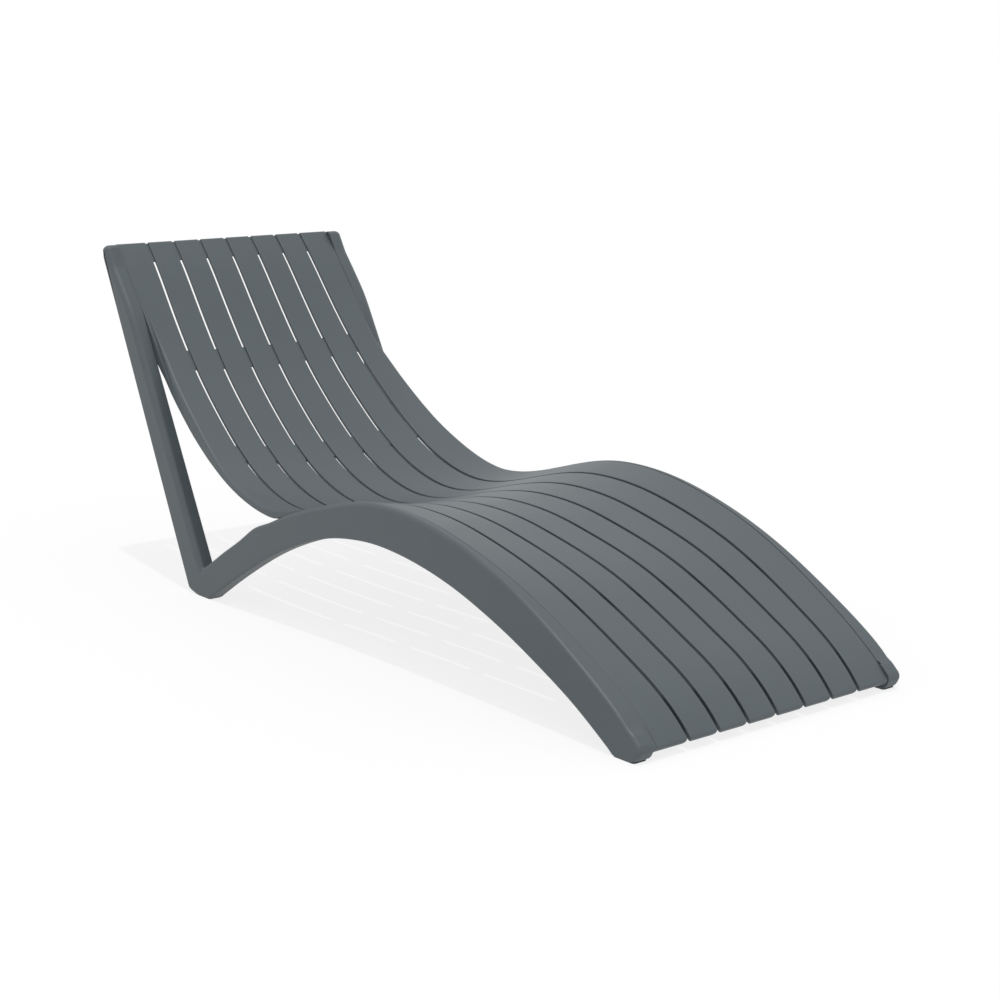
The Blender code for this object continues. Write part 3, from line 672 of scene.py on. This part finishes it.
# frame: the outline drawn in along its normal and set across the thickness ring by ring, a
# quarter ellipse for the outer edge, the rebate for the edge slat and a quarter circle inside
def makeFrame(sideName, side):
    outline, kind, share = frameOutline()
    count = len(share)                       # the first points are the rail's top
    tangent = unit(np.roll(outline, -1, axis=0) - np.roll(outline, 1, axis=0))
    nextSpot = np.roll(outline, -1, axis=0)
    area = np.sum(outline[:, 0] * nextSpot[:, 1] - nextSpot[:, 0] * outline[:, 1])
    inward = np.stack([-tangent[:, 1], tangent[:, 0]], axis=-1) * math.copysign(1, area)
    run = runAlong(outline)

    # mean of the values around each point, weighted by one less the way there over the reach
    def blurred(values):
        gap = np.abs(run[:, None] - run[None, :])
        gap = np.minimum(gap, run[-1] - gap)
        weight = np.clip(1 - gap / sides["blur"], 0, None)
        return weight @ values / weight.sum(axis=1)

    onSole = outline[:, 1] < sides["sole"] + sides["soleMargin"]
    rounding = np.array([sides["edge"], sides["edge"], sides["legEdge"], sides["noseEdge"]])[kind]
    roundWidth, roundDepth = rounding.copy(), rounding.copy()
    roundWidth[:count] = sides["roundWidth"]
    roundDepth[:count] = sides["roundDepth"] * railRoundShare(share)
    roundWidth = blurred(np.where(onSole, sides["soleEdge"], roundWidth))
    roundDepth = blurred(np.where(onSole, sides["soleEdge"], roundDepth))
    sharpInside = onSole | (kind >= onLeg)
    innerEdge = blurred(np.where(sharpInside, sides["soleEdge"], sides["innerEdge"]))

    rings = []                               # points and wear of each ring

    # ring at a distance across from the outer face and an inset from the outline; on the rail's
    # top both may be given anew, as a place across and as an inset from the seat
    def ring(across, inset, seatX=None, seatInset=None, wearHighlightShare=0.0):
        across = np.broadcast_to(np.asarray(across, float), len(outline)).copy()
        inset = np.broadcast_to(np.asarray(inset, float), len(outline)).copy()
        if seatInset is not None:
            inset[:count] = seatInset
        spot = outline + inward * inset[:, None]
        x = outerFace(spot[:, 1]) - across
        if seatX is not None:
            x[:count] = seatX
        points = np.stack([x * side, spot[:, 0], spot[:, 1]], axis=-1)
        rings.append((points, np.full(len(outline), wearHighlightShare)))

    # rings of each rounding take the paler edge colour by the sine of twice their turn, most at the
    # middle: edge wear and painted highlight
    turn = np.linspace(0, math.pi / 2, sides["turnRings"])
    for angle in turn:
        ring(roundWidth * (1 - math.cos(angle)), roundDepth * (1 - math.sin(angle)),
             wearHighlightShare=math.sin(2 * angle))
    thickness = lounger["frameThickness"]
    groove = edgeLine(share)
    drop = archDrop(share)
    shelf = np.maximum(drop, slats["thickness"] + lounger["clearance"]) - drop
    edge = np.minimum(sides["rebateEdge"], shelf / 2)
    innerX = outerFace(seatHeight(share)) - thickness
    innerRound = np.minimum(groove, innerX + sides["innerEdge"])
    plain = thickness - innerEdge            # where the inner rounding begins
    rebateTurn = np.linspace(0, math.pi / 2, sides["rebateRings"])
    *rebateLead, shelfLead, middleLead = sides["ringLead"]
    for angle, lead in zip(rebateTurn, rebateLead):
        ring(plain - lead, 0, groove + edge * (1 - math.sin(angle)),
             edge * (1 - math.cos(angle)), wearHighlightShare=math.sin(2 * angle))
    ring(plain - shelfLead, 0, groove, shelf)
    ring(plain - middleLead, 0, groove * 0.5 + innerRound * 0.5, shelf)
    for angle in turn:
        ring(thickness - innerEdge * (1 - math.sin(angle)), innerEdge * (1 - math.cos(angle)),
             np.minimum(innerRound, innerX + sides["innerEdge"] * (1 - math.sin(angle))),
             shelf + sides["innerEdge"] * (1 - math.cos(angle)), wearHighlightShare=math.sin(2 * angle))
    points = np.stack([points for points, wearHighlightShare in rings])
    wearAndHighlight = np.stack([wearHighlightShare for points, wearHighlightShare in rings])
    gridPiece(f"frameDressed_{sideName}", [(points, wearAndHighlight)], slatePlastic,
              f"side_frame_{sideName}")


bothSides = (("left", -1.0), ("right", 1.0))
for sideName, side in bothSides:
    makeFrame(sideName, side)
print("side frames made")

rails = {
    "width": 0.042,
    "depth": 0.020,
    "gap": 0.0006,
    "lowReach": 0.0060,
    "topReach": 0.0012,
    "columns": 49,
    "ribTop": 0.0027,        # ribs stand up between the slats to this far below their tops
    "ribGap": 0.0002,
    "ribFoot": 0.0010,       # how deep a rib stands in its rail
    "ribReach": 0.0004,
    "ribRows": 8,
    "ribLean": 0.45,         # how far a rib's front leans back per depth, so that it hides the rail
    # share of the paler edge colour on the ribs' roundings: edge wear and painted highlight
    "ribWearHighlight": 0.3,
    "headLead": 0.0008,      # how far the head end's ribs pass the rail, as a share of the length
    "footEdge": 0.0100,      # place where the foot end's rail begins
    # place along the length, width and depth as shares, and whether it has ribs
    "places": {
        "foot_end": (0.0315, 1.00, 1.00, False),
        "lower_leg": (0.1650, 1.00, 1.00, False),
        "knee": (0.3000, 1.00, 1.00, False),
        "thigh": (0.4320, 1.00, 1.00, False),
        "seat": (0.5600, 1.00, 1.00, False),
        "lumbar": (0.7660, 1.00, 0.40, True),
        "shoulder": (0.8838, 1.00, 0.50, True),
        "head_end": (0.9858, 0.88, 0.35, True),
    },
}


# rib: an oblong in the gap between two slats, carried along the gap; its front leans back with
# depth, so each place along it is a mean of a leaning front and a fixed end
def ribSkin(number, edges, deep, lead):
    top, thick = rails["ribTop"], slats["thickness"]
    perMetre = math.cos(seatAngle(edges[0])) / lounger["length"] * rails["ribLean"]
    start = edges[0] - perMetre * (deep - top)
    end = edges[1] + lead if lead else edges[1] - perMetre * (thick - top)
    half = slats["gap"] / 2 - rails["ribGap"]
    low = thick + rails["gap"] + rails["ribFoot"]
    corners = [(-half, top), (half, top), (half, low), (-half, low)]
    section, bump = roundOutline(corners, [rails["ribReach"], rails["ribReach"], 0, 0])
    front = start + (edges[0] - start) * (section[:, 1] - top) / (low - top)
    share = front + (end - front) * np.linspace(0, 1, rails["ribRows"])[:, None]
    middle = (number - slats["count"] / 2) * slatPitch(share)
    skin = seatPoint(share, middle + section[:, 0], section[:, 1])
    return skin, bump[None, :] * rails["ribWearHighlight"]


# rail: an oblong section with rounded lower edges, carried across under the dished slats; in the
# arch its ends lean in with the frames' faces
def makeRail(name, place, widthShare, depthShare, ribs):
    level = seatHeight(place)
    half = rails["width"] * widthShare * math.cos(seatAngle(place)) / lounger["length"] / 2
    edges = np.array([rails["footEdge"] if name == "foot_end" else place - half, place + half])
    top = slats["thickness"] + rails["gap"]
    deep = top + rails["depth"] * depthShare
    face = outerFace(level) - lounger["frameThickness"]
    if place > lounger["archLeave"]:
        face = (edgeLine(edges) - shell["flangeThickness"] - lounger["clearance"]).min()
    # columns by the sine of an even turn, so that they crowd towards both ends
    across = np.sin(np.linspace(-1, 1, rails["columns"]) * math.pi / 2)
    across = across * (face - lounger["clearance"])
    corners = np.stack([seatPoint(edges[end], across, depth) for end, depth in
                        ((0, top), (1, top), (1, deep), (0, deep))], axis=1)
    lowReach = rails["lowReach"] * depthShare
    section, bump = roundOutline(corners[..., 1:],
                                 [rails["topReach"], rails["topReach"], lowReach, lowReach])
    x = np.broadcast_to(across[:, None], section.shape[:2])
    if place <= lounger["archLeave"]:
        leanIn = lounger["lean"] * (section[..., 1] - level)
        x = x - np.sign(x) * leanIn * (np.abs(x) / face)
    # rail roundings take the paler edge colour in full: edge wear and painted highlight
    skins = [(np.concatenate([x[..., None], section], axis=-1), bump[None, :])]
    if ribs:
        lead = rails["headLead"] if name == "head_end" else 0
        skins += [ribSkin(number, edges, deep, lead) for number in range(1, slats["count"])]
    gridPiece(f"railDressed_{name}", skins, slatePlastic, f"cross_rail_{name}")


for name, shares in rails["places"].items():
    makeRail(name, *shares)
print("cross rails made")

pads = {
    "thickness": 0.0035,
    "length": 0.050,
    "width": 0.030,
    "corner": 0.006,
    "edge": 0.0009,
    "points": 64,
    "arcSteps": 5,
    "spigot": 0.006,
    "spigotTop": 0.0130,
    "spigotEdge": 0.001,
    "places": {"front": 0.0249, "rear": 0.7675},
}


# pad: rings of a rounded oblong, each the oblong's half sizes less an inset, up its side wall and
# in to a round spigot
def makePad(spot, sideName, side):
    edge, thick, spigot = pads["edge"], pads["thickness"], pads["spigot"]
    centre = (side * (outerFace(0) - lounger["frameThickness"] / 2),
              sidePoint(pads["places"][spot], 0)[0])
    turn = (np.arange(pads["points"]) + 0.5) * 2 * math.pi / pads["points"]
    quarter = np.linspace(0, math.pi / 2, pads["arcSteps"])
    profile = [(edge * (1 - math.sin(a)), edge * (1 - math.cos(a))) for a in quarter]
    profile += [(edge * (1 - math.cos(a)), thick - edge * (1 - math.sin(a))) for a in quarter]
    rings = []

    # ring at one height: the pad's centre plus the distances x and y
    def ring(x, y, z):
        rings.append(np.stack([centre[0] + x, centre[1] + y, np.full_like(turn, z)], axis=-1))

    halfWidth, halfLength = (pads[size] / 2 - pads["corner"] for size in ("width", "length"))
    for inset, z in profile:
        radius = pads["corner"] - inset
        ring(np.sign(np.cos(turn)) * halfWidth + radius * np.cos(turn),
             np.sign(np.sin(turn)) * halfLength + radius * np.sin(turn), z)
    for radius, z in ((spigot, thick), (spigot, pads["spigotTop"] - pads["spigotEdge"]),
                      (spigot - pads["spigotEdge"], pads["spigotTop"])):
        ring(radius * np.cos(turn), radius * np.sin(turn), z)
    gridPiece(f"padDressed_{spot}_{sideName}", [(np.stack(rings), 0.0)], padRubber,
              f"foot_pad_{spot}_{sideName}")


for spot in pads["places"]:
    for sideName, side in bothSides:
        makePad(spot, sideName, side)
print("foot pads made")

studio = {
    "floorSize": 60.0,
    "shadow": 0.22,          # how much of the floor's own shading the camera sees
    "paint": 0.80,
    "glow": 1.052,           # lifts the shaded floor back to white in the camera's eye
    "sky": 0.69,
    "sun": 1.10,
    "sunSpread": 1.2,        # degrees
    "sunWay": (0.09, 0.145, -1.0),
    "cameraPlace": (-2.349168, -2.992118, 1.074330),
    "cameraTilt": 90 - 12.3945,
    "cameraTurn": -39.3145,
    "focal": 1990.3,         # in pixels of a picture as wide as the next line says
    "pictureWidth": 1000,
    "sensorWidth": 36.0,     # millimetres
}
white = (1, 1, 1, 1)


# 1 where a ray is of any of the named kinds, or else 0: the largest of their flags
def anyRay(tree, first, *others):
    seen = addNode(tree, "ShaderNodeLightPath")
    value = seen.outputs[first]
    for name in others:
        either = addNode(tree, "ShaderNodeMath", operation="MAXIMUM")
        tree.links.new(value, either.inputs[0])
        tree.links.new(seen.outputs[name], either.inputs[1])
        value = either.outputs[0]
    return value


# mix of two shaders: (one less the factor) of the first plus the factor of the second
def mixShaders(tree, first, second):
    mix = addNode(tree, "ShaderNodeMixShader")
    tree.links.new(first.outputs[0], mix.inputs[1])
    tree.links.new(second.outputs[0], mix.inputs[2])
    return mix


floorMesh = bpy.data.meshes.new("floor")
half = studio["floorSize"] / 2
floorMesh.from_pydata([(-half, -half, 0), (half, -half, 0), (half, half, 0), (-half, half, 0)],
                      [], [(0, 1, 2, 3)])
floor = bpy.data.objects.new("floor", floorMesh)
bpy.context.scene.collection.objects.link(floor)
floorPaint = bpy.data.materials.new("floorPaint")
floorPaint.use_nodes = True
tree = floorPaint.node_tree
tree.nodes.clear()
output = addNode(tree, "ShaderNodeOutputMaterial")
paint = addNode(tree, "ShaderNodeBsdfDiffuse", Color=(*[studio["paint"]] * 3, 1))
glow = addNode(tree, "ShaderNodeEmission", Color=white, Strength=studio["glow"])
shaded = mixShaders(tree, glow, paint)
shaded.inputs[0].default_value = studio["shadow"]
picked = mixShaders(tree, paint, shaded)
tree.links.new(anyRay(tree, "Is Camera Ray", "Is Glossy Ray"), picked.inputs[0])
tree.links.new(picked.outputs[0], output.inputs[0])
floorMesh.materials.append(floorPaint)

world = bpy.data.worlds.new("studioSky")
bpy.context.scene.world = world
world.use_nodes = True
tree = world.node_tree
tree.nodes.clear()
output = addNode(tree, "ShaderNodeOutputWorld")
dim = addNode(tree, "ShaderNodeBackground", Color=white, Strength=studio["sky"])
bright = addNode(tree, "ShaderNodeBackground", Color=white, Strength=1.0)
picked = mixShaders(tree, dim, bright)
tree.links.new(anyRay(tree, "Is Camera Ray", "Is Glossy Ray", "Is Transmission Ray"),
               picked.inputs[0])
tree.links.new(picked.outputs[0], output.inputs[0])

sunLamp = bpy.data.lights.new("sun", "SUN")
sunLamp.energy = studio["sun"]
sunLamp.angle = math.radians(studio["sunSpread"])
sun = bpy.data.objects.new("sun", sunLamp)
sun.rotation_euler = Vector(studio["sunWay"]).to_track_quat("-Z", "Y").to_euler()
bpy.context.scene.collection.objects.link(sun)

cameraLens = bpy.data.cameras.new("camera")
cameraLens.sensor_width = studio["sensorWidth"]
cameraLens.lens = studio["focal"] / studio["pictureWidth"] * cameraLens.sensor_width
camera = bpy.data.objects.new("camera", cameraLens)
camera.location = studio["cameraPlace"]
camera.rotation_euler = (math.radians(studio["cameraTilt"]), 0, math.radians(studio["cameraTurn"]))
bpy.context.scene.collection.objects.link(camera)
bpy.context.scene.camera = camera
bpy.context.scene.view_settings.view_transform = "Standard"
print("floor, light and camera set")
